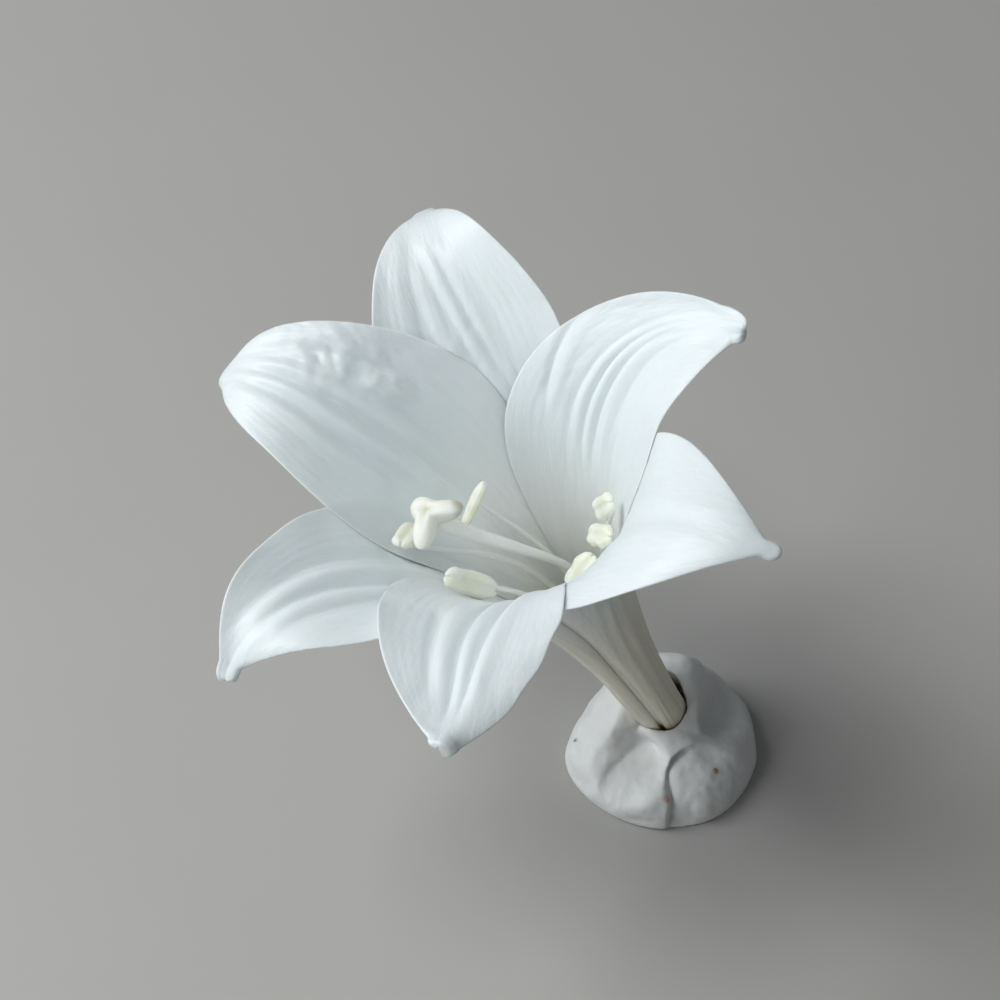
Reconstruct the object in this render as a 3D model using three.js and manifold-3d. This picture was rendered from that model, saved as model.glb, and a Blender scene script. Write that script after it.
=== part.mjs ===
import * as THREE from 'three';
import { mergeVertices } from 'three/addons/utils/BufferGeometryUtils.js';
import Module from 'manifold-3d';

// An easter lily bloom, picked, standing in a pinched lump of white modelling clay.
// Millimetres, +Z up. The origin is the middle of the clay's flat foot.
//
// The bloom has a frame of its own: its axis is the middle of the tube, its origin the middle of the
// tube's foot. All six tepals lie along one trumpet-shaped guide surface, each as a strip around its own
// azimuth and at its own level, so that they overlap like tiles and never cut one another. Azimuths are
// in degrees and run counterclockwise, seen from the open end.

const DEG = Math.PI / 180;

// Driving dimensions
const tubeFoot = new THREE.Vector3(0.9, 5.1, 8);
const leanX = -0.348;
const leanY = -0.101;
const bladeThickness = 0.7;
const tipThickness = 1.5;
const seatGap = 0.3;

// The trumpet: wall angles are measured from the axis, lengths along the wall
const trumpet = {
  footRadius: 4.45,
  footAngle: 2.5,
  widening: 13.1,
  wideningSpan: 80,
  flareSpan: 150,
  flarePower: 2.4,
  blend: 10,
};

// Levels above the guide surface, towards the middle of the bloom. held is how far round the tube either
// side of a tepal reaches, from its middle, above the foot.
const whorls = {
  inner: { level: 0.58, widestAt: 0.61, tipPower: 0.98, held: 57 },
  outer: { level: -0.58, widestAt: 0.71, tipPower: 1.38, held: 47 },
};
const footHalfAngle = 43;
const footWidth = 0.34;
const ovalPower = 2.3;

// Distances along a tepal: where the tube takes its sides, where its edges come free, and how long the
// turn at its tip is
const heldFrom = 30;
const heldTo = 60;
const edgesFreeFrom = 121;
const edgesFreeTo = 141;
const curledBy = 153;
const tipTurnSpan = 22;
const settling = 16;

const guideSteps = 60;
const leastRadius = 4;
const leastNose = 0.06;

// left and right are the half widths on the counterclockwise and the clockwise side, tip the one at the tip
const tepals = [
  {
    name: 'petal_left', whorl: 'inner', azimuth: 149, length: 153, sweep: 5.5, left: 25, right: 24,
    tip: 2.4, flare: 112, flareFrom: 107.5, tipTurn: 27, curl: 0.048, liftLeft: -2.6, liftRight: -0.5,
  },
  {
    name: 'sepal_back', whorl: 'outer', azimuth: 103, length: 153, sweep: -0.5, left: 19, right: 21,
    tip: 2.4, flare: 114, flareFrom: 101, tipTurn: 28, curl: 0.067, liftLeft: -0.3, liftRight: -0.5,
  },
  {
    name: 'petal_right', whorl: 'inner', azimuth: 61.5, length: 143, sweep: -48, left: 21.5, right: 29,
    tip: 3, flare: 110.5, flareFrom: 96.5, tipTurn: 17, curl: -0.04, liftLeft: 3.5, liftRight: -2.3,
    heldLeft: 62, heldRight: 62,
  },
  {
    name: 'sepal_right', whorl: 'outer', azimuth: -39, length: 159, sweep: 7.5, left: 19, right: 23,
    tip: 1.7, flare: 102, flareFrom: 113, tipTurn: 7, curl: -0.028, liftLeft: -0.4, liftRight: 0,
  },
  {
    name: 'petal_front', whorl: 'inner', azimuth: -88, length: 161.6, sweep: -2.5, left: 20.5, right: 24.5,
    tip: 2.2, flare: 80, flareFrom: 96.5, tipTurn: -40, curl: 0.034, liftLeft: -4.5, liftRight: 1,
    heldLeft: 26,
  },
  {
    name: 'sepal_left', whorl: 'outer', azimuth: 223, length: 158, sweep: -0.7, left: 19.5, right: 19.5,
    tip: 1.7, flare: 79, flareFrom: 111, tipTurn: 41, curl: 0.012, liftLeft: -1.5, liftRight: 3,
  },
];

// The left side of petal_right lies over petal_left, so it climbs to a level of its own above the foot
const topPetal = {
  name: 'petal_right',
  level: 1.65,
  climbFrom: 8,
  climbTo: 30,
  sideFrom: -0.6,
  sideTo: 0.2,
};

const smooth = (value) => {
  const t = THREE.MathUtils.clamp(value, 0, 1);
  return t * t * (3 - 2 * t);
};

const ramp = (value, from, to) => smooth((value - from) / (to - from));

const softMin = (a, b) => (a ** -8 + b ** -8) ** (-1 / 8);

// How much each tepal shapes the guide surface at an azimuth
function shares(azimuth) {
  const weights = tepals.map((t) => Math.exp(trumpet.blend * (Math.cos((azimuth - t.azimuth) * DEG) - 1)));
  const total = weights.reduce((sum, w) => sum + w, 0);
  return weights.map((w) => w / total);
}

// Wall angle in degrees at a distance along the wall
function wallAngle(share, distance) {
  const flare = tepals.reduce((sum, t, i) => sum + share[i] * t.flare, 0);
  const from = tepals.reduce((sum, t, i) => sum + share[i] * t.flareFrom, 0);
  const tube = trumpet.footAngle + trumpet.widening * (distance / trumpet.wideningSpan) ** 2;
  const t = THREE.MathUtils.clamp((distance - from) / (trumpet.flareSpan - from), 0, 1.15);
  return tube + (flare - tube) * t ** trumpet.flarePower;
}

// Radius, height and wall angle of the guide surface, with a tepal's own turn at its tip
function guide(azimuth, distance, tepal) {
  const share = shares(azimuth);
  const step = distance / guideSteps;
  const turn = (s) => (tepal ? tepal.tipTurn * ramp(s, tepal.length - tipTurnSpan, tepal.length) : 0);
  let radius = trumpet.footRadius;
  let height = 0;
  for (let i = 0; i < guideSteps; i += 1) {
    const s = (i + 0.5) * step;
    const angle = (wallAngle(share, s) + turn(s)) * DEG;
    radius += Math.sin(angle) * step;
    height += Math.cos(angle) * step;
  }
  return { radius, height, angle: (wallAngle(share, distance) + turn(distance)) * DEG };
}

// Half width of a tepal: a long oval, held in the tube to its share of the way round
function halfWidth(tepal, side, distance, radius) {
  const whorl = whorls[tepal.whorl];
  const t = distance / tepal.length;
  const beyond = Math.max(t - whorl.widestAt, 0) / (1 - whorl.widestAt);
  const oval = beyond > 0
    ? Math.max(1 - beyond ** ovalPower, 0) ** whorl.tipPower
    : footWidth + (1 - footWidth) * smooth(t / whorl.widestAt);
  const held = (side > 0 ? tepal.heldLeft : tepal.heldRight) ?? whorl.held;
  const angle = footHalfAngle + (held - footHalfAngle) * ramp(distance, heldFrom, heldTo);
  const free = Math.max((side > 0 ? tepal.left : tepal.right) * oval, tepal.tip);
  const nose = THREE.MathUtils.clamp((distance - tepal.length + tepal.tip) / tepal.tip, 0, 1);
  return softMin(free, angle * DEG * radius) * Math.sqrt(Math.max(1 - nose ** 2, leastNose));
}

function levelOf(tepal, distance, side) {
  const level = whorls[tepal.whorl].level;
  if (tepal.name !== topPetal.name) return level;
  const climb = ramp(distance, topPetal.climbFrom, topPetal.climbTo);
  return level + (topPetal.level - level) * climb * ramp(side, topPetal.sideFrom, topPetal.sideTo);
}

const rib = {
  grooveDepth: 0.5,
  grooveWidth: 1.3,
  height: 0.45,
  width: 1.5,
  aside: 2.9,
  from: 70,
  to: 110,
  tip: 16,
};

// Grooved midrib: a hollow along the middle with a rounded rib on either side
function midrib(x, distance, length) {
  const groove = Math.exp(-((x / rib.grooveWidth) ** 2));
  const ribs = Math.exp(-(((Math.abs(x) - rib.aside) / rib.width) ** 2));
  const height = rib.height * ribs - rib.grooveDepth * groove;
  return height * ramp(distance, rib.from, rib.to) * ramp(length - distance, 2, rib.tip);
}

// A point of a tepal's middle surface: side runs from -1, clockwise edge, to 1, counterclockwise edge
function tepalPoint(tepal, distance, side) {
  const middle = tepal.azimuth + tepal.sweep * (distance / tepal.length) ** 3;
  const { radius: middleRadius } = guide(middle, distance);
  const x = halfWidth(tepal, side, distance, middleRadius) * side;
  const curl = tepal.curl * ramp(distance, edgesFreeFrom, curledBy) + 1e-6;
  const across = Math.sin(curl * x) / curl;
  const rise = (1 - Math.cos(curl * x)) / curl;
  const azimuth = middle + across / Math.max(middleRadius, leastRadius) / DEG;
  const { radius, height, angle } = guide(azimuth, distance, tepal);
  const lift = side > 0 ? tepal.liftLeft : tepal.liftRight;
  const free = ramp(distance, edgesFreeFrom, edgesFreeTo);
  const settled = 1 - 0.5 * ramp(distance, tepal.length - settling, tepal.length);
  const above = levelOf(tepal, distance, side) + rise + lift * free * settled * side * side
    + midrib(x, distance, tepal.length);
  const r = radius - above * Math.cos(angle);
  const z = height + above * Math.sin(angle);
  return new THREE.Vector3(r * Math.cos(azimuth * DEG), r * Math.sin(azimuth * DEG), z);
}

// A closed thin solid around a grid of points, alike on both faces
function sheet(rows, cols, pointAt, thicknessAt) {
  const grid = rows.map((distance) => cols.map((side) => pointAt(distance, side)));
  const lastRow = rows.length - 1;
  const lastCol = cols.length - 1;
  const at = (i, j) => grid[THREE.MathUtils.clamp(i, 0, lastRow)][THREE.MathUtils.clamp(j, 0, lastCol)];
  const front = [];
  const back = [];
  for (let i = 0; i <= lastRow; i += 1) {
    for (let j = 0; j <= lastCol; j += 1) {
      const along = at(i + 1, j).clone().sub(at(i - 1, j));
      const across = at(i, j + 1).clone().sub(at(i, j - 1));
      const normal = along.cross(across).normalize();
      const half = thicknessAt(rows[i]) / 2;
      front.push(at(i, j).clone().addScaledVector(normal, half));
      back.push(at(i, j).clone().addScaledVector(normal, -half));
    }
  }
  const index = (i, j) => i * cols.length + j;
  const offset = front.length;
  const triangles = [];
  for (let i = 0; i < lastRow; i += 1) {
    for (let j = 0; j < lastCol; j += 1) {
      const [a, b, c, d] = [index(i, j), index(i + 1, j), index(i, j + 1), index(i + 1, j + 1)];
      triangles.push(a, b, c, b, d, c);
      triangles.push(offset + a, offset + c, offset + b, offset + b, offset + c, offset + d);
    }
  }
  const rim = [];
  for (let j = 0; j < lastCol; j += 1) rim.push(index(0, j));
  for (let i = 0; i < lastRow; i += 1) rim.push(index(i, lastCol));
  for (let j = lastCol; j > 0; j -= 1) rim.push(index(lastRow, j));
  for (let i = lastRow; i > 0; i -= 1) rim.push(index(i, 0));
  rim.forEach((p, k) => {
    const q = rim[(k + 1) % rim.length];
    triangles.push(p, q, offset + q, p, offset + q, offset + p);
  });
  const geometry = new THREE.BufferGeometry().setFromPoints([...front, ...back]);
  geometry.setIndex(triangles);
  return geometry;
}

// A round rod along a curve, closed at both ends, with a radius that varies along it
function rod(curve, radiusAt, sections, sides) {
  const frames = curve.computeFrenetFrames(sections, false);
  const points = [];
  const triangles = [];
  for (let i = 0; i <= sections; i += 1) {
    const centre = curve.getPointAt(i / sections);
    for (let j = 0; j < sides; j += 1) {
      const turn = (j / sides) * 2 * Math.PI;
      const radius = radiusAt(i / sections);
      points.push(centre.clone()
        .addScaledVector(frames.normals[i], radius * Math.cos(turn))
        .addScaledVector(frames.binormals[i], radius * Math.sin(turn)));
    }
  }
  for (let i = 0; i < sections; i += 1) {
    for (let j = 0; j < sides; j += 1) {
      const [a, b] = [i * sides + j, i * sides + ((j + 1) % sides)];
      triangles.push(a, b, b + sides, a, b + sides, a + sides);
    }
  }
  const start = points.push(curve.getPointAt(0)) - 1;
  const end = points.push(curve.getPointAt(1)) - 1;
  for (let j = 0; j < sides; j += 1) {
    const next = (j + 1) % sides;
    triangles.push(start, next, j);
    triangles.push(end, sections * sides + j, sections * sides + next);
  }
  const geometry = new THREE.BufferGeometry().setFromPoints(points);
  geometry.setIndex(triangles);
  return geometry;
}

// A ball whose radius depends on the direction
function lump(radiusAt, around, down) {
  const sphere = new THREE.SphereGeometry(1, around, down);
  sphere.deleteAttribute('normal');
  sphere.deleteAttribute('uv');
  sphere.rotateX(Math.PI / 2);
  const geometry = mergeVertices(sphere, 1e-5);
  const position = geometry.getAttribute('position');
  const direction = new THREE.Vector3();
  for (let i = 0; i < position.count; i += 1) {
    direction.fromBufferAttribute(position, i).normalize();
    const point = radiusAt(direction);
    position.setXYZ(i, point.x, point.y, point.z);
  }
  return geometry;
}

const finish = (color, roughness) => new THREE.MeshStandardMaterial({ color, roughness, metalness: 0 });
const petalMaterial = () => finish(0xeef1f4, 0.5);
const creamMaterial = () => finish(0xf1efd8, 0.6);
const greenMaterial = () => finish(0xdfe3c0, 0.55);
const stalkMaterial = () => finish(0xa8a878, 0.6);
const clayMaterial = () => finish(0xe4e5e2, 0.75);

const bloom = new THREE.Group();

function addTo(group, name, geometry, material) {
  const mesh = new THREE.Mesh(geometry, material);
  mesh.name = name;
  group.add(mesh);
  return mesh;
}

// Tepals: steps across and along the blade, closer together towards the edges and the tip
const sideSteps = [0, 0.12, 0.26, 0.44, 0.63, 0.82, 1];
const sides = [...sideSteps.slice(1).reverse().map((s) => -s), ...sideSteps];
const rowCount = 26;
const lastRows = [2.2, 0.9];
const closing = 0.25;
const nubLength = 5;

function distances(length) {
  const rows = [];
  for (let i = 0; i <= rowCount; i += 1) {
    const t = i / rowCount;
    rows.push(length * ((1 + closing) * t - closing * t * t));
  }
  rows.splice(-1, 0, ...lastRows.map((beforeTip) => length - beforeTip));
  return rows;
}

function buildTepal(tepal) {
  const nub = (distance) => bladeThickness
    + (tipThickness - bladeThickness) * ramp(distance, tepal.length - nubLength, tepal.length - 1);
  const point = (distance, side) => tepalPoint(tepal, distance, side);
  return sheet(distances(tepal.length), sides, point, nub);
}

tepals.forEach((tepal) => addTo(bloom, tepal.name, buildTepal(tepal), petalMaterial()));

// Receptacle: the end of the flower stalk, a collar under the tepals on a short stub
const receptacle = { radius: 5.3, rim: 0.5, collar: 1.6, stubRadius: 3, stub: 2.6 };

function buildReceptacle() {
  const { radius, rim, collar, stubRadius, stub } = receptacle;
  const profile = [
    [0, -seatGap - collar - stub],
    [stubRadius, -seatGap - collar - stub],
    [stubRadius, -seatGap - collar],
    [radius, -seatGap - rim],
    [radius, -seatGap],
    [0, -seatGap],
  ];
  const lathe = new THREE.LatheGeometry(profile.map(([r, z]) => new THREE.Vector2(r, z)), 24);
  lathe.deleteAttribute('normal');
  lathe.deleteAttribute('uv');
  lathe.rotateX(Math.PI / 2);
  return mergeVertices(lathe, 1e-4);
}

addTo(bloom, 'receptacle', buildReceptacle(), stalkMaterial());

// Pistil: a slender ovary that narrows into the style, which leans towards the left of the bloom
const stylePath = [
  [0, 0, 0], [0, 0, 16], [0, 1, 34], [-1, 3.7, 64], [-6, 0.1, 83], [-11.4, -3.1, 98], [-13.8, -4.1, 105.2],
];
const styleCurve = new THREE.CatmullRomCurve3(stylePath.map((p) => new THREE.Vector3(...p)));

function pistilRadius(t) {
  const ovary = 1.5 + 0.6 * Math.sin(Math.PI * THREE.MathUtils.clamp(t / 0.34, 0, 1));
  const style = 0.8 + 0.7 * ramp(t, 0.6, 1);
  return THREE.MathUtils.lerp(ovary, style, ramp(t, 0.26, 0.4));
}

addTo(bloom, 'pistil', rod(styleCurve, pistilRadius, 26, 10), greenMaterial());

// Stigma: a crown of three unlike lobes around a shallow middle. A lobe is its azimuth, how far it reaches
// beyond the core, and how wide it is in degrees.
const stigma = {
  centre: [-14.4, -4.1, 108.6],
  core: 2.5,
  lobes: [[-2, 4.1, 27], [141, 1.4, 50], [258, 4.7, 27]],
  thickness: 2.6,
  dip: 0.8,
  dipWidth: 0.45,
};

const turnBetween = (a, b) => ((a - b + 540) % 360) - 180;

function stigmaPoint(direction) {
  const azimuth = Math.atan2(direction.y, direction.x) / DEG;
  const lobe = ([at, reach, width]) => reach * Math.exp(-((turnBetween(azimuth, at) / width) ** 2));
  const radius = stigma.lobes.reduce((sum, one) => sum + lobe(one), stigma.core);
  const flat = Math.hypot(direction.x, direction.y);
  const dip = direction.z > 0 ? stigma.dip * Math.exp(-((flat / stigma.dipWidth) ** 2)) : 0;
  const z = direction.z * stigma.thickness - dip;
  return new THREE.Vector3(direction.x * radius, direction.y * radius, z);
}

const stigmaMesh = addTo(bloom, 'stigma', lump(stigmaPoint, 24, 9), creamMaterial());
stigmaMesh.position.set(...stigma.centre);

// Stamens: a filament from the receptacle, and a flat anther with a crease along it, held at the middle of
// its back. The grip is the side that the filament comes to, in degrees from straight outward, and the roll
// turns the crease away from the open end.
const anther = { halfWidth: 2.4, halfThickness: 1.3, crease: 0.3, creaseWidth: 0.35 };
const openEnd = new THREE.Vector3(0.15, -0.4, 0.9);
const filamentRing = 2.85;
const filament = { radius: 0.42, swell: 0.25, thinning: 0.07 };
const filamentLow = { radius: 3.1, z: 19 };
const filamentHigh = { radius: 3.4, z: 30 };
const filamentBow = { share: 0.6, ofWall: 0.66 };
const stamens = [
  { name: 'left', foot: 149, grip: 0, roll: 0, from: [-19.6, -10.2, 109.2], to: [-18.9, -3.4, 103.8] },
  { name: 'back', foot: 103, grip: 0, roll: 75, from: [-7.2, 6.2, 99], to: [-12.8, 0.4, 94.4] },
  { name: 'back_right', foot: 61, grip: 30, roll: 0, from: [11.4, 1.7, 89], to: [16.3, -0.4, 95.4] },
  { name: 'right', foot: -39, grip: 0, roll: 0, from: [8.5, 0.1, 84], to: [14.3, -4.5, 89.8] },
  { name: 'front_right', foot: -88, grip: 0, roll: 0, from: [9.9, -5.6, 86.3], to: [4.1, -10.2, 83.2] },
  { name: 'front_left', foot: -137, grip: -100, roll: 0, from: [-12.2, -16, 106], to: [-5.9, -15, 95.4] },
];

const around = (azimuth, radius, z) => new THREE.Vector3(
  radius * Math.cos(azimuth * DEG),
  radius * Math.sin(azimuth * DEG),
  z,
);

function antherPoint(halfLength) {
  return (direction) => {
    const flat = Math.max(Math.hypot(direction.x, direction.y), 1e-6);
    const blunt = Math.min(Math.sqrt(Math.max(1 - direction.z ** 4, 0)) / flat, 2);
    const crease = anther.crease * Math.exp(-((direction.x / flat / anther.creaseWidth) ** 2));
    return new THREE.Vector3(
      direction.x * blunt * anther.halfWidth,
      direction.y * blunt * anther.halfThickness * (1 - crease),
      direction.z * halfLength,
    );
  };
}

// The anther's own axes: across it, out of its crease, and along it
function antherAxes(stamen) {
  const from = new THREE.Vector3(...stamen.from);
  const along = new THREE.Vector3(...stamen.to).sub(from).normalize();
  const out = openEnd.clone().addScaledVector(along, -openEnd.dot(along)).normalize();
  out.applyAxisAngle(along, stamen.roll * DEG);
  return { across: out.clone().cross(along), out, along };
}

function filamentEnd(centre, axes, grip) {
  const towards = around(Math.atan2(centre.y, centre.x) / DEG + grip, 1, -1);
  const back = towards.addScaledVector(axes.along, -towards.dot(axes.along)).normalize();
  const aside = anther.halfWidth * back.dot(axes.across);
  const reach = Math.hypot(aside, anther.halfThickness * back.dot(axes.out));
  return centre.clone().addScaledVector(back, reach + seatGap + filament.radius);
}

function filamentCurve(foot, end) {
  const middleZ = THREE.MathUtils.lerp(filamentHigh.z, end.z, filamentBow.share);
  const turn = turnBetween(Math.atan2(end.y, end.x) / DEG, foot);
  const { radius } = guide(foot, middleZ);
  return new THREE.CatmullRomCurve3([
    around(foot, filamentRing, 0),
    around(foot, filamentLow.radius, filamentLow.z),
    around(foot, filamentHigh.radius, filamentHigh.z),
    around(foot + turn / 2, filamentBow.ofWall * radius, middleZ),
    end,
  ]);
}

const filamentRadius = (t) => (
  filament.radius + filament.swell * Math.sin(Math.PI * t) - filament.thinning * t
);

stamens.forEach((stamen) => {
  const from = new THREE.Vector3(...stamen.from);
  const to = new THREE.Vector3(...stamen.to);
  const centre = from.clone().lerp(to, 0.5);
  const axes = antherAxes(stamen);
  const basis = new THREE.Matrix4().makeBasis(axes.across, axes.out, axes.along);
  const cells = lump(antherPoint(from.distanceTo(to) / 2), 12, 9);
  const antherMesh = addTo(bloom, `anther_${stamen.name}`, cells, creamMaterial());
  antherMesh.position.copy(centre);
  antherMesh.quaternion.setFromRotationMatrix(basis);
  const curve = filamentCurve(stamen.foot, filamentEnd(centre, axes, stamen.grip));
  addTo(bloom, `filament_${stamen.name}`, rod(curve, filamentRadius, 18, 7), greenMaterial());
});

// The bloom leans on its foot
const up = new THREE.Vector3(leanX, leanY, 1).normalize();
const side = new THREE.Vector3(1, 0, 0).addScaledVector(up, -up.x).normalize();
const leaning = new THREE.Matrix4().makeBasis(side, up.clone().cross(side), up).setPosition(tubeFoot);
bloom.applyMatrix4(leaning);

// Clay: three lumps pressed together, a low one under the flower, a ridge on its left and a hill behind it.
// Each is bounded by soft facets around one core. A facet is the azimuth and the elevation of its outward
// direction, and its distance from the core.
const clayCore = new THREE.Vector3(0, 0, 6);
const facetSoftness = 12;
const sideFacets = [
  [0, -90, 6.4], [180, 18, 20.2], [205, 14, 20.2], [230, 10, 19.2], [250, 10, 19.4], [272, 8, 19],
  [300, 12, 19.2], [330, 14, 19.2], [3, 16, 19.1], [35, 22, 19.4], [62, 15, 20], [92, 8, 19],
  [130, 12, 18.2], [155, 20, 17.2],
];
const clayLumps = [
  [
    ...sideFacets, [235, 52, 11.8], [285, 60, 9.2], [325, 60, 9.2], [20, 62, 9.8], [100, 80, 6.4],
    [200, 74, 6.2], [270, 78, 5.8],
  ],
  [...sideFacets, [172, 33, 18], [205, 55, 11.6], [305, 45, 1.3], [80, 70, 12]],
  [
    ...sideFacets, [172, 33, 18.4], [130, 32, 19], [92, 38, 22.3], [60, 36, 22], [28, 40, 17],
    [332, 45, 10.2], [258, 48, 4.4], [215, 50, 10.6], [80, 84, 16.9], [150, 70, 13.6],
  ],
];

// Presses of a thumb, deeper than 0 inwards, and the fold where the right lobe was pushed under the left
const presses = [
  { at: [-7, -7.4, 8.6], reach: 7.4, depth: 3.4, edge: 3 },
  { at: [13.4, 5.5, 11], reach: 6, depth: 4.2, edge: 3 },
  { at: [10, -0.6, 11], reach: 4, depth: 1.2, edge: 3 },
  { at: [3.6, -3.2, 11.6], reach: 4, depth: -0.8, edge: 2 },
  { at: [13, -10.5, 8], reach: 5, depth: 0.8, edge: 2 },
];
const fold = {
  path: [
    [9.5, -3.6], [7, -4.3], [3.9, -6.5], [1.9, -8.2], [0.6, -10.8], [0.2, -14.2], [1.2, -17], [0.9, -22],
  ],
  depth: 3,
  width: 0.6,
  reach: 5,
};

function facetDirection(azimuth, elevation) {
  return around(azimuth, Math.cos(elevation * DEG), Math.sin(elevation * DEG));
}

function lumpReach(direction, facets) {
  const total = facets.reduce((sum, [azimuth, elevation, distance]) => {
    const towards = Math.max(direction.dot(facetDirection(azimuth, elevation)), 1e-3);
    return sum + (towards / distance) ** facetSoftness;
  }, 0);
  return total ** (-1 / facetSoftness);
}

// Distance from the fold in plan, positive on its right
function besideFold(point) {
  const here = new THREE.Vector2(point.x, point.y);
  let nearest = Infinity;
  for (let i = 0; i + 1 < fold.path.length; i += 1) {
    const from = new THREE.Vector2(...fold.path[i]);
    const step = new THREE.Vector2(...fold.path[i + 1]).sub(from);
    const offset = here.clone().sub(from);
    const t = THREE.MathUtils.clamp(offset.dot(step) / step.lengthSq(), 0, 1);
    const distance = offset.distanceTo(step.clone().multiplyScalar(t));
    if (distance < Math.abs(nearest)) nearest = distance * (Math.sign(step.cross(offset)) || 1);
  }
  return nearest;
}

function foldDepth(point) {
  const beside = besideFold(point);
  const step = smooth((beside + fold.width / 2) / fold.width) * Math.exp(-Math.max(beside, 0) / fold.reach);
  return fold.depth * step * ramp(point.z, 0, 1) * ramp(point.y, -3, -8);
}

// A point of the clay's skin: v runs from the foot, 0, up over the side, to the top, 1
function clayPoint(azimuth, v) {
  const direction = facetDirection(azimuth, 120 * v - 30);
  const reach = Math.max(...clayLumps.map((facets) => lumpReach(direction, facets)));
  const point = clayCore.clone().addScaledVector(direction, reach);
  point.z = Math.max(point.z, 0);
  const sink = (depth) => point.addScaledVector(clayCore.clone().sub(point).normalize(), depth);
  presses.forEach((press) => {
    const away = point.distanceTo(new THREE.Vector3(...press.at)) / press.reach;
    sink(press.depth * Math.exp(-(away ** press.edge)));
  });
  sink(foldDepth(point));
  point.z = Math.max(point.z, 0);
  return point;
}

function clayBody() {
  const columns = 60;
  const levels = 18;
  const points = [];
  for (let k = 0; k < levels; k += 1) {
    for (let i = 0; i < columns; i += 1) points.push(clayPoint((i / columns) * 360, k / levels));
  }
  const triangles = [];
  for (let k = 0; k + 1 < levels; k += 1) {
    for (let i = 0; i < columns; i += 1) {
      const [a, b] = [k * columns + i, k * columns + ((i + 1) % columns)];
      triangles.push(a, b, b + columns, a, b + columns, a + columns);
    }
  }
  const top = points.push(clayPoint(0, 1)) - 1;
  const foot = points.push(new THREE.Vector3(0, 0, 0)) - 1;
  const last = (levels - 1) * columns;
  for (let i = 0; i < columns; i += 1) {
    const next = (i + 1) % columns;
    triangles.push(last + i, last + next, top);
    triangles.push(next, i, foot);
  }
  const geometry = new THREE.BufferGeometry().setFromPoints(points);
  geometry.setIndex(triangles);
  return geometry;
}

const wasm = await Module();
wasm.setup();

function toSolid(geometry) {
  return new wasm.Manifold(new wasm.Mesh({
    numProp: 3,
    vertProperties: new Float32Array(geometry.getAttribute('position').array),
    triVerts: new Uint32Array(geometry.getIndex().array),
  }));
}

function toGeometry(solid) {
  const mesh = solid.getMesh();
  const geometry = new THREE.BufferGeometry();
  geometry.setAttribute('position', new THREE.BufferAttribute(mesh.vertProperties, 3));
  geometry.setIndex(new THREE.BufferAttribute(mesh.triVerts, 1));
  return geometry;
}

// The hole that the tube stands in follows the tube, a little wider
const hole = {
  below: receptacle.stub + receptacle.collar + 2 * seatGap,
  above: 24,
  footRadius: 5.6,
  mouthRadius: 7.2,
};

function holeBody() {
  const depth = hole.below + hole.above;
  const geometry = new THREE.CylinderGeometry(hole.mouthRadius, hole.footRadius, depth, 28);
  geometry.deleteAttribute('normal');
  geometry.deleteAttribute('uv');
  geometry.rotateX(Math.PI / 2);
  geometry.translate(0, 0, depth / 2 - hole.below);
  geometry.applyMatrix4(leaning);
  return mergeVertices(geometry, 1e-4);
}

const lily = new THREE.Group();
lily.add(bloom);
const pierced = toSolid(clayBody()).subtract(toSolid(holeBody()));
addTo(lily, 'clay', toGeometry(pierced), clayMaterial());

export default lily;
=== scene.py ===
import math

import bmesh
import bpy
import numpy as np
from mathutils import Matrix, Vector
from mathutils import noise as field


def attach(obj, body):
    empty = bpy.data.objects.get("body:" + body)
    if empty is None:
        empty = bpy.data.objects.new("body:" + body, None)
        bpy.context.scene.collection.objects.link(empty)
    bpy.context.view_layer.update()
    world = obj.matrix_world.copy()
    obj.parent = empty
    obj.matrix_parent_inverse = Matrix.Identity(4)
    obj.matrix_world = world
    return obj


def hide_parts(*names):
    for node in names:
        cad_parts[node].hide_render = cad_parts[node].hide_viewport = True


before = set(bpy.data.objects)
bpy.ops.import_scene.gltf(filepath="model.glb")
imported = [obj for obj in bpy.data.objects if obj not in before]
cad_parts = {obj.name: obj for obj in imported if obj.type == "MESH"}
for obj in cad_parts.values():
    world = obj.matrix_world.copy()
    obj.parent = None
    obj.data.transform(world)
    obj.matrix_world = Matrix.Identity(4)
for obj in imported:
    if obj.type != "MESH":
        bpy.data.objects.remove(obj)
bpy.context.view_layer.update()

MM = 0.001

# ---- Driving dimensions of the bloom, the same as the solids' ----

TUBE_FOOT = np.array([0.9, 5.1, 8.0])
LEAN = np.array([-0.348, -0.101, 1.0])
BLADE = 0.7
TIP = 1.5

FOOT_RADIUS = 4.45
FOOT_ANGLE = 2.5
WIDENING = 13.1
WIDENING_SPAN = 80
FLARE_SPAN = 150
FLARE_POWER = 2.4
FLARE_LIMIT = 1.15
BLEND = 10
FOOT_HALF_ANGLE = 43
FOOT_WIDTH = 0.34
OVAL_POWER = 2.3

# Distances along a tepal: where the tube takes its sides, where its edges come free, where it is curled,
# and how long the turn at its tip is
HELD_FROM = 30
HELD_TO = 60
EDGES_FREE_FROM = 121
EDGES_FREE_TO = 141
CURLED_BY = 153
TIP_TURN_SPAN = 22
SETTLING = 16

GUIDE_STEPS = 60
LEAST_RADIUS = 4

WHORLS = {
    "inner": dict(level=0.58, widest_at=0.61, tip_power=0.98, held=57),
    "outer": dict(level=-0.58, widest_at=0.71, tip_power=1.38, held=47),
}
TOP_PETAL = dict(name="petal_right", level=1.65, climb_from=8, climb_to=30, side_from=-0.6, side_to=0.2)

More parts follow.
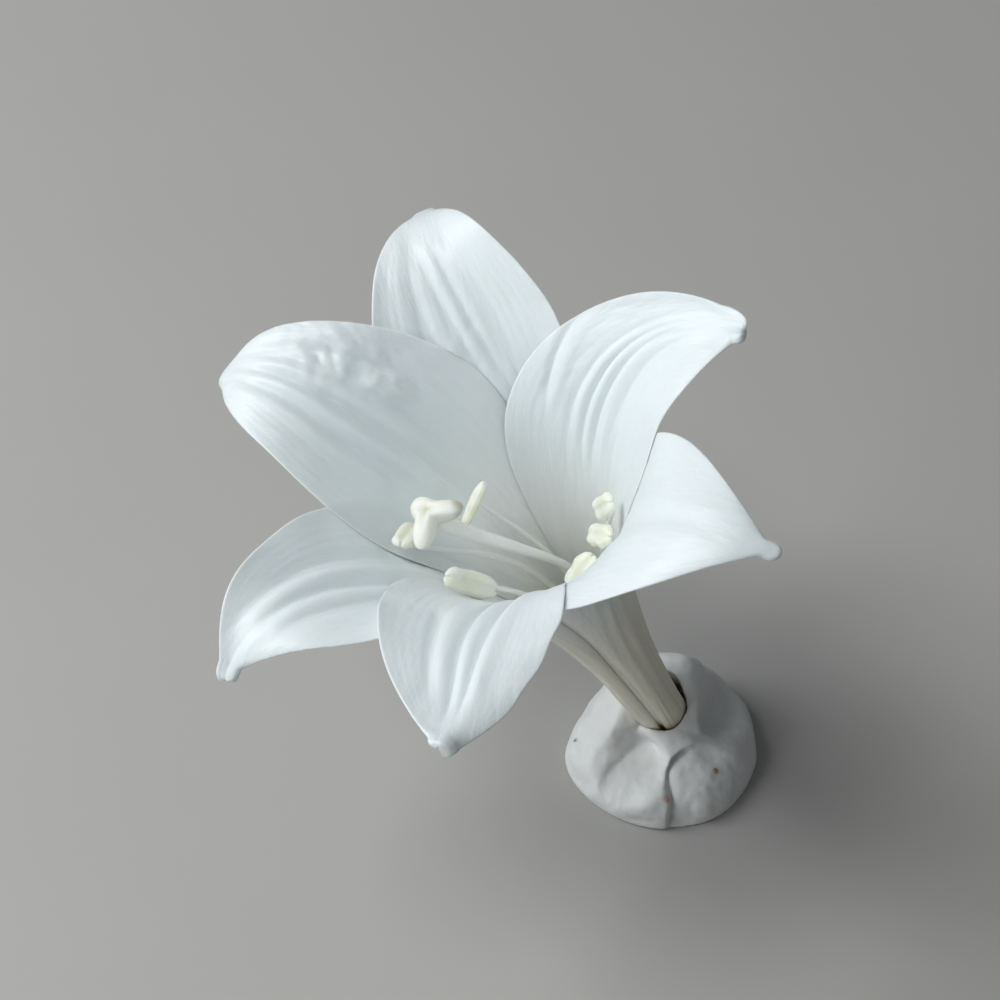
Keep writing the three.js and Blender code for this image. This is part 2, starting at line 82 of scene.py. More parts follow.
# left and right are the half widths on the counterclockwise and the clockwise side, tip the one at the tip
TEPALS = [
    dict(
        name="petal_left", whorl="inner", azimuth=149, length=153, sweep=5.5, left=25, right=24,
        tip=2.4, flare=112, flare_from=107.5, tip_turn=27, curl=0.048, lift_left=-2.6, lift_right=-0.5,
    ),
    dict(
        name="sepal_back", whorl="outer", azimuth=103, length=153, sweep=-0.5, left=19, right=21,
        tip=2.4, flare=114, flare_from=101, tip_turn=28, curl=0.067, lift_left=-0.3, lift_right=-0.5,
    ),
    dict(
        name="petal_right", whorl="inner", azimuth=61.5, length=143, sweep=-48, left=21.5, right=29,
        tip=3, flare=110.5, flare_from=96.5, tip_turn=17, curl=-0.04, lift_left=3.5, lift_right=-2.3,
        held_left=62, held_right=62,
    ),
    dict(
        name="sepal_right", whorl="outer", azimuth=-39, length=159, sweep=7.5, left=19, right=23,
        tip=1.7, flare=102, flare_from=113, tip_turn=7, curl=-0.028, lift_left=-0.4, lift_right=0,
    ),
    dict(
        name="petal_front", whorl="inner", azimuth=-88, length=161.6, sweep=-2.5, left=20.5, right=24.5,
        tip=2.2, flare=80, flare_from=96.5, tip_turn=-40, curl=0.034, lift_left=-4.5, lift_right=1,
        held_left=26,
    ),
    dict(
        name="sepal_left", whorl="outer", azimuth=223, length=158, sweep=-0.7, left=19.5, right=19.5,
        tip=1.7, flare=79, flare_from=111, tip_turn=41, curl=0.012, lift_left=-1.5, lift_right=3,
    ),
]

# Fine relief of each blade. A groove or rib is (side in mm, width, depth or height) and runs to the tip.
# A fold is (from distance, side, to distance, side, width, height). A wave of an edge is (side, height,
# length, phase). A crumpled patch is (distance, side, half length, half width, height).
RELIEF = {
    "petal_left": dict(
        grooves=[(-0.6, 1.1, 1.0), (5.4, 1.4, 0.75), (-6.5, 1.7, 0.5)],
        ribs=[(2.4, 1.4, 0.8), (-3.4, 1.4, 0.6), (8.5, 2.0, 0.45)],
        folds=[(147, -3.0, 112, -14.5, 1.1, -0.45), (143, -0.5, 110, -10.5, 1.2, 0.35)],
        edges=[(1, 0.5, 26, 0.4), (-1, 0.6, 31, 2.0)], patches=[(127, -8.5, 11, 6.5, 0.85)],
        veins=0.03, crinkle=0.4,
    ),
    "sepal_back": dict(
        grooves=[(6.6, 1.8, 0.4), (-7.5, 2.0, 0.35)],
        ribs=[(10.0, 2.4, 0.3)],
        folds=[
            (138, 2.4, 104, -1.4, 1.0, -0.35), (138, -0.6, 103, -5.0, 1.0, -0.35),
            (140, 0.8, 100, -3.2, 1.1, 0.3), (136, 4.4, 104, 1.6, 1.2, 0.25),
        ],
        edges=[(1, 0.4, 22, 1.0), (-1, 0.4, 17, 0.2)], patches=[(119, 0, 12, 5, 0.3)],
        veins=0.03, crinkle=0.12,
    ),
    "petal_right": dict(
        grooves=[(-1.3, 0.95, 0.9), (1.9, 0.9, 0.85), (5.2, 1.0, 0.6), (-6.6, 1.4, 0.35)],
        ribs=[(0.3, 0.9, 0.5), (3.5, 1.1, 0.5), (-3.8, 1.5, 0.6)],
        folds=[(125, 14.8, 101, 11.2, 1.0, -0.7), (125, 11.6, 101, 8.6, 1.6, 0.5)],
        edges=[(1, 0.4, 30, 0.0), (-1, 0.5, 24, 1.2)], patches=[(121, 8, 10, 6, 0.3)],
        veins=0.03, crinkle=0.16,
    ),
    "sepal_right": dict(
        grooves=[(0.0, 2.4, 0.35)],
        ribs=[(4.0, 2.6, 0.25), (-4.0, 2.6, 0.25)],
        folds=[],
        edges=[(1, 0.4, 34, 0.5), (-1, 0.5, 28, 2.2)], patches=[], veins=0.02, crinkle=0.08,
    ),
    "petal_front": dict(
        grooves=[(-2.9, 1.0, 1.15), (1.8, 1.0, 1.15)],
        ribs=[(-0.6, 1.1, 0.4), (4.9, 1.7, 0.75)],
        folds=[(118, -10.0, 152, -4.6, 1.5, -0.6), (112, -7.0, 150, -3.6, 1.4, 0.4)],
        edges=[(1, 0.35, 9, 0.0), (-1, 0.5, 26, 1.5)], patches=[], veins=0.03, crinkle=0.14,
    ),
    "sepal_left": dict(
        grooves=[(0.0, 1.4, 0.7), (6.4, 1.8, 0.55), (-7.4, 1.8, 0.5)],
        ribs=[(3.2, 1.6, 0.6), (-3.6, 1.6, 0.6)],
        folds=[],
        edges=[(1, 0.5, 30, 1.0), (-1, 1.0, 24, 0.6)], patches=[], veins=0.035, crinkle=0.12,
    ),
}


def smooth(value):
    t = np.clip(value, 0, 1)
    return t * t * (3 - 2 * t)


def ramp(value, start, end):
    """Smoothly from 0 at the start to 1 at the end, which may be the lower of the two."""
    return smooth((value - start) / (end - start))


def bell(value, width):
    return np.exp(-((value / width) ** 2))


def unit(vector):
    return vector / np.linalg.norm(vector, axis=-1, keepdims=True)


UP = unit(LEAN)
ACROSS = unit(np.array([1.0, 0, 0]) - UP * UP[0])
AWAY = np.cross(UP, ACROSS)


def to_world(points):
    """From the bloom's own frame to the row frame."""
    return TUBE_FOOT + points[..., :1] * ACROSS + points[..., 1:2] * AWAY + points[..., 2:] * UP


# ---- Smooth noise on a lattice of seeded numbers ----

LATTICE = np.random.default_rng(7).uniform(-1, 1, (64, 64))


def noise(x, y):
    """Smooth noise from -1 to 1, one cell for each unit."""
    i, j = np.floor(x).astype(int), np.floor(y).astype(int)
    fx, fy = smooth(x - i), smooth(y - j)
    a, b = LATTICE[i % 64, j % 64], LATTICE[(i + 1) % 64, j % 64]
    c, d = LATTICE[i % 64, (j + 1) % 64], LATTICE[(i + 1) % 64, (j + 1) % 64]
    return (a * (1 - fx) + b * fx) * (1 - fy) + (c * (1 - fx) + d * fx) * fy


def layered(x, y, octaves=3):
    total = sum(noise(x * 2 ** k + 17 * k, y * 2 ** k + 5 * k) / 2 ** k for k in range(octaves))
    return total / 1.6


# ---- The guide surface and the tepals on it ----

AZIMUTHS = np.array([t["azimuth"] for t in TEPALS], float)
FLARES = np.array([t["flare"] for t in TEPALS], float)
FLARES_FROM = np.array([t["flare_from"] for t in TEPALS], float)


def wall_terms(azimuth):
    """How far and from where the wall flares at an azimuth."""
    weights = np.exp(BLEND * (np.cos(np.radians(azimuth[..., None] - AZIMUTHS)) - 1))
    share = weights / weights.sum(-1, keepdims=True)
    return share @ FLARES, share @ FLARES_FROM


def wall_angle(flare, start, distance):
    tube = FOOT_ANGLE + WIDENING * (distance / WIDENING_SPAN) ** 2
    t = np.clip((distance - start) / (FLARE_SPAN - start), 0, FLARE_LIMIT)
    return tube + (flare - tube) * t ** FLARE_POWER


def guide(azimuth, distance, tepal=None):
    """Radius, height and wall angle in radians; azimuth and distance are arrays of one shape."""
    flare, start = wall_terms(azimuth)

    def turn(s):
        if tepal is None:
            return 0
        return tepal["tip_turn"] * ramp(s, tepal["length"] - TIP_TURN_SPAN, tepal["length"])

    step = distance / GUIDE_STEPS
    radius = np.full(azimuth.shape, float(FOOT_RADIUS))
    height = np.zeros(azimuth.shape)
    for i in range(GUIDE_STEPS):
        s = (i + 0.5) * step
        angle = np.radians(wall_angle(flare, start, s) + turn(s))
        radius += np.sin(angle) * step
        height += np.cos(angle) * step
    return radius, height, np.radians(wall_angle(flare, start, distance) + turn(distance))


def half_width(tepal, side, distance, radius):
    """The tepal's own oval, or less where the tube holds it."""
    whorl = WHORLS[tepal["whorl"]]
    t = distance / tepal["length"]
    beyond = np.maximum(t - whorl["widest_at"], 0) / (1 - whorl["widest_at"])
    past = np.maximum(1 - beyond ** OVAL_POWER, 0) ** whorl["tip_power"]
    before = FOOT_WIDTH + (1 - FOOT_WIDTH) * smooth(t / whorl["widest_at"])
    oval = np.where(beyond > 0, past, before)
    held_left, held_right = (tepal.get(key, whorl["held"]) for key in ("held_left", "held_right"))
    widest = np.where(side > 0, held_left, held_right)
    angle = FOOT_HALF_ANGLE + (widest - FOOT_HALF_ANGLE) * ramp(distance, HELD_FROM, HELD_TO)
    full = np.where(side > 0, tepal["left"], tepal["right"])
    free = np.maximum(full * oval, tepal["tip"])
    held = np.radians(angle) * radius
    return (free ** -8.0 + held ** -8.0) ** (-1 / 8)


def level_of(tepal, distance, side):
    """Height above the guide surface; one side of the top petal climbs over its neighbour."""
    level = WHORLS[tepal["whorl"]]["level"]
    if tepal["name"] != TOP_PETAL["name"]:
        return level
    climb = ramp(distance, TOP_PETAL["climb_from"], TOP_PETAL["climb_to"])
    climb = climb * ramp(side, TOP_PETAL["side_from"], TOP_PETAL["side_to"])
    return level + (TOP_PETAL["level"] - level) * climb


# Where along the blade a kind of relief comes up, and how far from the tip it is gone and still whole
RELIEF_SPANS = {
    "grooves": ((84, 118), (3, 20)),
    "edges": ((EDGES_FREE_FROM, 137), (4, 20)),
    "crinkle": ((95, 125), (1, 12)),
}
# Towards the tip, over this distance, grooves and ribs gather to this share of their spacing
GATHERED = 0.35
GATHER_SPAN = (2, 40)
# A crumpled patch is noise with cells of this size, in axes turned on the blade, and bent by other noise
CRUMPLE = dict(turn=(0.8, 0.6), cell=(2.3, 5.2), bend=(1.6, 1.3))
VEIN_PAIRS = 9


def spread(kind, tepal, distance):
    up, down = RELIEF_SPANS[kind]
    return ramp(distance, *up) * ramp(tepal["length"] - distance, *down)


def relief_of(tepal, x, distance, side, wide):
    """Height of the fine forms above the smooth blade, wide being the half width there."""
    lines = RELIEF[tepal["name"]]
    seed = 7 * TEPALS.index(tepal)
    gather = GATHERED + (1 - GATHERED) * ramp(tepal["length"] - distance, *GATHER_SPAN)
    height = np.zeros(x.shape)
    for at, width, depth in lines["grooves"]:
        height -= depth * bell(x - at * gather, width)
    for at, width, rise in lines["ribs"]:
        height += rise * bell(x - at * gather, width)
    height *= spread("grooves", tepal, distance)
    for start, from_side, end, to_side, width, rise in lines["folds"]:
        share = (distance - start) / (end - start)
        at = from_side + (to_side - from_side) * share
        height += rise * bell(x - at, width) * ramp(share, 0, 0.2) * ramp(share, 1, 0.7)
    cos, sin = CRUMPLE["turn"]
    for at, aside, long, broad, rise in lines["patches"]:
        askew, onward = cos * x + sin * distance, cos * distance - sin * x
        across = askew + CRUMPLE["bend"][0] * noise(onward / 5 + seed, askew / 6)
        along = onward + CRUMPLE["bend"][1] * noise(askew / 4, onward / 7)
        crumples = layered(across / CRUMPLE["cell"][0], along / CRUMPLE["cell"][1])
        height += rise * bell(distance - at, long) * bell(x - aside, broad) * crumples
    for edge, rise, span, phase in lines["edges"]:
        wave = np.clip(side * edge, 0, 1) ** 4 * np.sin(2 * np.pi * distance / span + phase)
        height += rise * wave * spread("edges", tepal, distance)
    inside = 1 - np.abs(side)
    veins = np.sin(2 * np.pi * side * VEIN_PAIRS + 3 * noise(side * 3, distance / 24 + seed))
    veined = ramp(distance, 20, 60) * ramp(inside, 0.03, 0.2) * np.minimum(wide / 20, 1) ** 2
    height += lines["veins"] * veins * veined
    crinkles = layered(x / 7 + 3, distance / 11 + seed)
    height += lines["crinkle"] * crinkles * spread("crinkle", tepal, distance) * ramp(inside, 0, 0.25)
    return height


# Where the edges lie pressed on the neighbours along the tube, how far they are pressed, and how much of
# their thickness they lose where they are pressed and where they are free
PRESSED_FROM = (3, 12)
PRESSED_TO = (134, 112)
EDGE_PRESS = {"outer": 0.6, "inner": -0.62, "top": -0.5}
PRESSED_THINNING = 0.57
FREE_THINNING = 0.35


def pressed_at(distance):
    """Along the tube the tepals lie on each other; beyond it their edges are free."""
    return ramp(distance, *PRESSED_FROM) * ramp(distance, *PRESSED_TO)


def seal_of(tepal, distance, share):
    """How far the thin edges of a tepal lie down on its neighbours, along the tube."""
    press = EDGE_PRESS[tepal["whorl"]]
    if tepal["name"] == TOP_PETAL["name"]:
        press = np.where(share > 0, EDGE_PRESS["top"], press)
    return press * np.abs(share) ** 4 * pressed_at(distance)


def blade_points(tepal, distance, side, inset, nosed=True):
    """The middle surface, at a distance along the blade, a side from -1 to 1 and an inset from the edge."""
    middle = tepal["azimuth"] + tepal["sweep"] * (distance / tepal["length"]) ** 3
    middle_radius, _, _ = guide(middle, distance)
    nose = np.clip((distance - tepal["length"] + tepal["tip"]) / tepal["tip"], 0, 1)
    bare = half_width(tepal, side, distance, middle_radius)
    reach = bare * np.sqrt(np.maximum(1 - nose ** 2, 0.01)) if nosed else bare
    x = np.sign(side) * np.maximum(reach * np.abs(side) - np.minimum(inset, 0.4 * reach), 0)
    curl = tepal["curl"] * ramp(distance, EDGES_FREE_FROM, CURLED_BY) + 1e-6
    across = np.sin(curl * x) / curl
    rise = (1 - np.cos(curl * x)) / curl
    azimuth = middle + np.degrees(across / np.maximum(middle_radius, LEAST_RADIUS))
    radius, height, angle = guide(azimuth, distance, tepal)
    lift = np.where(side > 0, tepal["lift_left"], tepal["lift_right"])
    free = ramp(distance, EDGES_FREE_FROM, EDGES_FREE_TO)
    settled = 1 - 0.5 * ramp(distance, tepal["length"] - SETTLING, tepal["length"])
    share = x / reach
    fine = relief_of(tepal, x, distance, share, reach) + seal_of(tepal, distance, share)
    above = level_of(tepal, distance, side) + rise + lift * free * settled * share ** 2 + fine
    r = radius - above * np.cos(angle)
    z = height + above * np.sin(angle)
    turn = np.radians(azimuth)
    return np.stack([r * np.cos(turn), r * np.sin(turn), z], -1), x


def grid_normals(points):
    along = np.gradient(points, axis=0)
    across = np.gradient(points, axis=1)
    return unit(np.cross(along, across) + 1e-12)


# ---- Meshes ----


def add_object(name, data):
    made = bpy.data.objects.new(name, data)
    bpy.context.scene.collection.objects.link(made)
    return made


def make_mesh(name, points, faces, attributes=None, uv=None):
    """A piece of the given points, in millimetres, with values for its points and corners."""
    mesh = bpy.data.meshes.new(name)
    mesh.from_pydata((np.asarray(points) * MM).tolist(), [], faces)
    mesh.validate()
    mesh.polygons.foreach_set("use_smooth", [True] * len(mesh.polygons))
    for key, values in (attributes or {}).items():
        layer = mesh.attributes.new(key, "FLOAT", "POINT")
        layer.data.foreach_set("value", np.asarray(values, np.float32).ravel())
    if uv is not None:
        corners = np.zeros(len(mesh.loops), np.int32)
        mesh.loops.foreach_get("vertex_index", corners)
        layer = mesh.uv_layers.new(name="blade")
        layer.data.foreach_set("uv", np.asarray(uv, np.float32)[corners].ravel())
    return add_object(name, mesh)


def ring_faces(levels, columns):
    """Faces through closed rings of points, closed by one point before the first and one after the last."""
    index = np.arange(levels * columns).reshape(levels, columns)
    following = np.roll(index, -1, axis=1)
    faces = np.stack([index[:-1], following[:-1], following[1:], index[1:]], -1).reshape(-1, 4).tolist()
    faces += [(index.size, int(b), int(a)) for a, b in zip(index[0], following[0])]
    faces += [(index.size + 1, int(a), int(b)) for a, b in zip(index[-1], following[-1])]
    return faces


def install(piece, node, material):
    piece.data.materials.append(material)
    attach(piece, "root")
    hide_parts(node)
    return piece


BLADE_ROWS = 240
BLADE_COLUMNS = 104
RIM_TURNS = np.radians([25, 50, 72, 90])

# Keels along the outer face of a tepal, down the tube: (side in mm, width, height)
KEELS = {
    "inner": [(-4.4, 1.0, 0.16), (-1.3, 1.1, 0.34), (1.6, 0.9, 0.3), (4.6, 1.1, 0.16)],
    "outer": [(-4.8, 1.0, 0.2), (-2.3, 0.9, 0.3), (0.1, 1.1, 0.5), (2.6, 0.9, 0.26), (5.0, 1.0, 0.2)],
}


def keels_of(tepal, x, distance):
    opened = 0.55 + 0.45 * ramp(distance, 0, 60)
    height = np.zeros(x.shape)
    for at, width, rise in KEELS[tepal["whorl"]]:
        height += rise * bell(x - at * opened, width)
    wobble = 1 + 0.35 * noise(distance / 17 + TEPALS.index(tepal) * 3, x / 3)
    return height * wobble * ramp(distance, 1, 8) * ramp(distance, 112, 70)


def build_tepal(tepal, material):
    length = tepal["length"]
    t = np.linspace(0, 1, BLADE_ROWS)
    ends = tepal["tip"] * np.array([0.01, 0.05, 0.12, 0.22, 0.35, 0.5, 0.7])
    rows = np.sort(np.concatenate([length * (1.25 * t - 0.25 * t * t), length - ends]))
    # Columns: an even field, and round rims of half the blade's thickness beside it
    field_sides = np.linspace(-1, 1, BLADE_COLUMNS)
    rims = len(RIM_TURNS)
    sides = np.concatenate([-np.ones(rims), field_sides, np.ones(rims)])
    shrink = 1 - np.sin(RIM_TURNS)
    inset = BLADE / 2 * np.concatenate([shrink[::-1], np.ones(BLADE_COLUMNS), shrink])
    full = np.concatenate([np.cos(RIM_TURNS)[::-1], np.ones(BLADE_COLUMNS), np.cos(RIM_TURNS)])
    distance, side = np.meshgrid(rows, sides, indexing="ij")
    middle, x = blade_points(tepal, distance, side, inset * np.abs(side))
    plain, _ = blade_points(tepal, *np.meshgrid(rows, field_sides, indexing="ij"), 0, nosed=False)
    normal = grid_normals(plain)
    normal = np.concatenate([normal[:, :1]] * rims + [normal] + [normal[:, -1:]] * rims, axis=1)
    nose = np.clip((distance - length + TIP / 2) / (TIP / 2), 0, 1)
    thickness = BLADE + (TIP - BLADE) * ramp(distance, length - 6, length - 1)
    pressed = pressed_at(distance)
    thinned = 1 - PRESSED_THINNING * side ** 4 * pressed - FREE_THINNING * side ** 6 * (1 - pressed)
    half = thickness / 2 * thinned * np.maximum(full, 0.02) * np.sqrt(np.maximum(1 - nose ** 2, 0.002))
    front = middle + normal * half[..., None]
    back = middle - normal * (half + keels_of(tepal, x, distance) * full)[..., None]
    points = to_world(np.concatenate([front.reshape(-1, 3), back.reshape(-1, 3)]))
    offset = side.size
    index = np.arange(offset).reshape(side.shape)
    a, b, c, d = index[:-1, :-1], index[1:, :-1], index[:-1, 1:], index[1:, 1:]
    faces = np.stack([a, b, d, c], -1).reshape(-1, 4).tolist()
    faces += np.stack([a + offset, c + offset, d + offset, b + offset], -1).reshape(-1, 4).tolist()
    ring = np.concatenate([index[0, :-1], index[:-1, -1], index[-1, :0:-1], index[:0:-1, 0]])
    following = np.roll(ring, -1)
    faces += np.stack([ring, following, following + offset, ring + offset], -1).tolist()
    attributes = dict(
        along=np.tile((distance / length).ravel(), 2),
        inner_face=np.concatenate([np.ones(offset), np.zeros(offset)]),
    )
    uv = np.stack([np.tile(x.ravel(), 2) / 60 + 0.5, np.tile(distance.ravel(), 2) / 170], -1)
    piece = make_mesh(tepal["name"] + "_blade", points, faces, attributes, uv)
    return install(piece, tepal["name"], material)


# ---- Rods along a curve ----


def centripetal(points, count):
    """Points evenly spaced along the centripetal Catmull-Rom curve through the given ones."""
    p = np.asarray(points, float)
    p = np.vstack([2 * p[0] - p[1], p, 2 * p[-1] - p[-2]])
    dense = []
    for i in range(1, len(p) - 2):
        x0, x1, x2, x3 = p[i - 1:i + 3]
        d0, d1, d2 = (np.linalg.norm(q - r) ** 0.5 for q, r in ((x1, x0), (x2, x1), (x3, x2)))
        t1 = ((x1 - x0) / d0 - (x2 - x0) / (d0 + d1) + (x2 - x1) / d1) * d1
        t2 = ((x2 - x1) / d1 - (x3 - x1) / (d1 + d2) + (x3 - x2) / d2) * d1
        t = np.linspace(0, 1, 60, endpoint=False)[:, None]
        square = 3 * (x2 - x1) - 2 * t1 - t2
        cube = 2 * (x1 - x2) + t1 + t2
        dense.append(x1 + t1 * t + square * t ** 2 + cube * t ** 3)
    dense = np.vstack(dense + [p[-2:-1]])
    lengths = np.concatenate([[0], np.cumsum(np.linalg.norm(np.diff(dense, axis=0), axis=1))])
    even = np.linspace(0, lengths[-1], count)
    return np.stack([np.interp(even, lengths, dense[:, k]) for k in range(3)], -1)


def rod(name, path, radius_at, sides, relief=None):
    """A closed rod with round ends along a path of points; radius_at takes the share of the way."""
    count = len(path)
    tangent = unit(np.gradient(path, axis=0))
    normal = unit(np.cross(tangent[0], [0.3, 1, 0.2]))
    rings = []
    turn = np.linspace(0, 2 * np.pi, sides, endpoint=False)[:, None]
    share = np.linspace(0, 1, count)
    total = np.linalg.norm(np.diff(path, axis=0), axis=1).sum()
    for i in range(count):
        normal = unit(normal - tangent[i] * (normal @ tangent[i]))
        binormal = np.cross(tangent[i], normal)
        radius = float(radius_at(share[i]))
        end = min(share[i], 1 - share[i]) * total
        radius *= math.sqrt(max(1 - max(1 - end / radius, 0) ** 2, 0.0025))
        lobes = 1 if relief is None else relief(turn)
        rings.append(path[i] + radius * lobes * (np.cos(turn) * normal + np.sin(turn) * binormal))
    points = np.vstack(rings + [path[:1], path[-1:]])
    along = np.concatenate([np.repeat(share, sides), [0, 1]])
    return make_mesh(name, to_world(points), ring_faces(count, sides), dict(along=along))


# ---- Pistil, stigma and stamens ----

STYLE_PATH = [
    [0, 0, 0], [0, 0, 16], [0, 1, 34], [-1, 3.7, 64], [-6, 0.1, 83], [-11.4, -3.1, 98],
    [-13.8, -4.1, 105.2],
]
# The style goes on to here, inside the stigma, where the solid's ends at the last point above
STYLE_END = [-14.1, -4.1, 106.6]
# A lobe of the stigma is its azimuth, how far it reaches beyond the core, and how wide it is in degrees
STIGMA = dict(
    centre=[-14.4, -4.1, 108.6], core=2.5, lobes=[(-2, 4.1, 27), (141, 1.4, 50), (258, 4.7, 27)],
    thickness=2.6, dip=0.8, dip_width=0.45, crease=0.14, crease_width=0.13, brown_end=[5.6, 0.2, -0.2],
)
ANTHER = dict(
    half_width=2.4, half_thickness=1.3, crease=0.3, crease_width=0.35,
    seam=0.1, seam_at=0.9, seam_width=0.12, notch=0.105, notch_width=0.3,
)
OPEN_END = np.array([0.15, -0.4, 0.9])
FILAMENT = dict(radius=0.42, swell=0.25, thinning=0.07)
# How far from the tube's axis a filament is at some heights, and its bow above them
FILAMENT_RISE = [(2.85, 0), (3.1, 19), (3.4, 30)]
FILAMENT_BOW = dict(share=0.6, of_wall=0.66)
SEAT_GAP = 0.3
STAMENS = [
    dict(name="left", foot=149, grip=0, roll=0, start=[-19.6, -10.2, 109.2], end=[-18.9, -3.4, 103.8]),
    dict(name="back", foot=103, grip=0, roll=75, start=[-7.2, 6.2, 99], end=[-12.8, 0.4, 94.4]),
    dict(name="back_right", foot=61, grip=30, roll=0, start=[11.4, 1.7, 89], end=[16.3, -0.4, 95.4]),
    dict(name="right", foot=-39, grip=0, roll=0, start=[8.5, 0.1, 84], end=[14.3, -4.5, 89.8]),
    dict(name="front_right", foot=-88, grip=0, roll=0, start=[9.9, -5.6, 86.3], end=[4.1, -10.2, 83.2]),
    dict(name="front_left", foot=-137, grip=-100, roll=0, start=[-12.2, -16, 106], end=[-5.9, -15, 95.4]),
]


def around(azimuth, radius, z):
    turn = math.radians(azimuth)
    return np.array([radius * math.cos(turn), radius * math.sin(turn), z])


def pistil_radius(t):
    ovary = 1.5 + 0.6 * math.sin(math.pi * min(max(t / 0.34, 0), 1))
    style = 0.8 + 0.7 * ramp(t, 0.6, 1)
    return ovary + (style - ovary) * ramp(t, 0.26, 0.4)


def ball(name, point_at, around_count, down_count, centre, frame_axes, tints=None):
    """A closed ball of points; point_at takes unit directions and frame_axes are its own x, y and z."""
    turn = np.linspace(0, 2 * np.pi, around_count, endpoint=False)
    tilt = np.linspace(0, np.pi, down_count + 1)[-2:0:-1]
    tilts, turns = np.meshgrid(tilt, turn, indexing="ij")
    ring = np.stack([np.sin(tilts) * np.cos(turns), np.sin(tilts) * np.sin(turns), np.cos(tilts)], -1)
    directions = np.concatenate([ring.reshape(-1, 3), [[0, 0, -1], [0, 0, 1]]])
    local = point_at(directions)
    points = centre + local @ np.asarray(frame_axes)
    attributes = tints and tints(directions, local)
    return make_mesh(name, to_world(points), ring_faces(*tilts.shape), attributes)


def turn_between(a, b):
    return (a - b + 540) % 360 - 180


def stigma_point(direction):
    azimuth = np.degrees(np.arctan2(direction[:, 1], direction[:, 0]))
    flat = np.hypot(direction[:, 0], direction[:, 1])
    radius = np.full(azimuth.shape, STIGMA["core"])
    arms = np.zeros(azimuth.shape)
    for at, reach, width in STIGMA["lobes"]:
        radius = radius + reach * bell(turn_between(azimuth, at), width)
        opposite = turn_between(azimuth, at + 180)
        beside = bell(np.radians(opposite) * flat, STIGMA["crease_width"])
        arms = np.maximum(arms, beside * (np.abs(opposite) < 60))
    arms *= ramp(flat, 0.0, 0.1) * ramp(flat, 0.8, 0.35)
    upper = np.clip(direction[:, 2] * 3, 0, 1)
    dip = STIGMA["dip"] * bell(flat, STIGMA["dip_width"]) + STIGMA["crease"] * arms
    swell = 1 + 0.04 * np.sin(np.radians(3 * azimuth) + 4 * direction[:, 2]) * flat
    return np.stack([
        direction[:, 0] * radius * swell,
        direction[:, 1] * radius * swell,
        direction[:, 2] * STIGMA["thickness"] - dip * upper,
    ], -1)


def stigma_tints(direction, local):
    flat = np.hypot(direction[:, 0], direction[:, 1])
    return dict(
        middle=bell(flat, STIGMA["crease_width"]) * (direction[:, 2] > 0),
        under=ramp(direction[:, 2], 0, -0.5),
        browned=ramp(np.linalg.norm(local - STIGMA["brown_end"], axis=-1), 2.4, 1.2),
    )


def anther_point(half_length, phase):
    def point_at(direction):
        flat = np.maximum(np.hypot(direction[:, 0], direction[:, 1]), 1e-6)
        blunt = np.minimum(np.sqrt(np.maximum(1 - direction[:, 2] ** 4, 0)) / flat, 2)
        across, out = direction[:, 0] / flat, direction[:, 1] / flat
        crease = ANTHER["crease"] * bell(across, ANTHER["crease_width"])
        seam = ANTHER["seam"] * bell(np.abs(across) - ANTHER["seam_at"], ANTHER["seam_width"])
        seam = seam * (out > -0.2)
        swell = 1 + 0.05 * np.sin(5 * direction[:, 2] + phase)
        swell = swell + 0.03 * np.sin(9 * direction[:, 2] + 2 * across)
        notch = ANTHER["notch"] * bell(across, ANTHER["notch_width"])
        notch = notch * ramp(np.abs(direction[:, 2]), 0.8, 1)
        return np.stack([
            direction[:, 0] * blunt * ANTHER["half_width"] * swell * (1 - seam),
            direction[:, 1] * blunt * ANTHER["half_thickness"] * swell * (1 - crease),
            direction[:, 2] * half_length * (1 - notch),
        ], -1)
    return point_at


def build_pistil(style_material, stigma_material):
    def trigonal(turn):
        return 1 + 0.05 * np.cos(3 * turn)

    path = centripetal(STYLE_PATH + [STYLE_END], 130)
    style = rod("style", path, pistil_radius, 28, relief=trigonal)
    install(style, "pistil", style_material)
    centre = np.array(STIGMA["centre"])
    stigma = ball("stigma_lobes", stigma_point, 120, 64, centre, np.eye(3), stigma_tints)
    install(stigma, "stigma", stigma_material)


def anther_axes(stamen):
    """The anther's own axes: across it, out of its crease, and along it."""
    along = unit(np.array(stamen["end"], float) - np.array(stamen["start"], float))
    out = unit(OPEN_END - along * (OPEN_END @ along))
    roll = math.radians(stamen["roll"])
    out = out * math.cos(roll) + np.cross(along, out) * math.sin(roll)
    return np.array([np.cross(out, along), out, along])


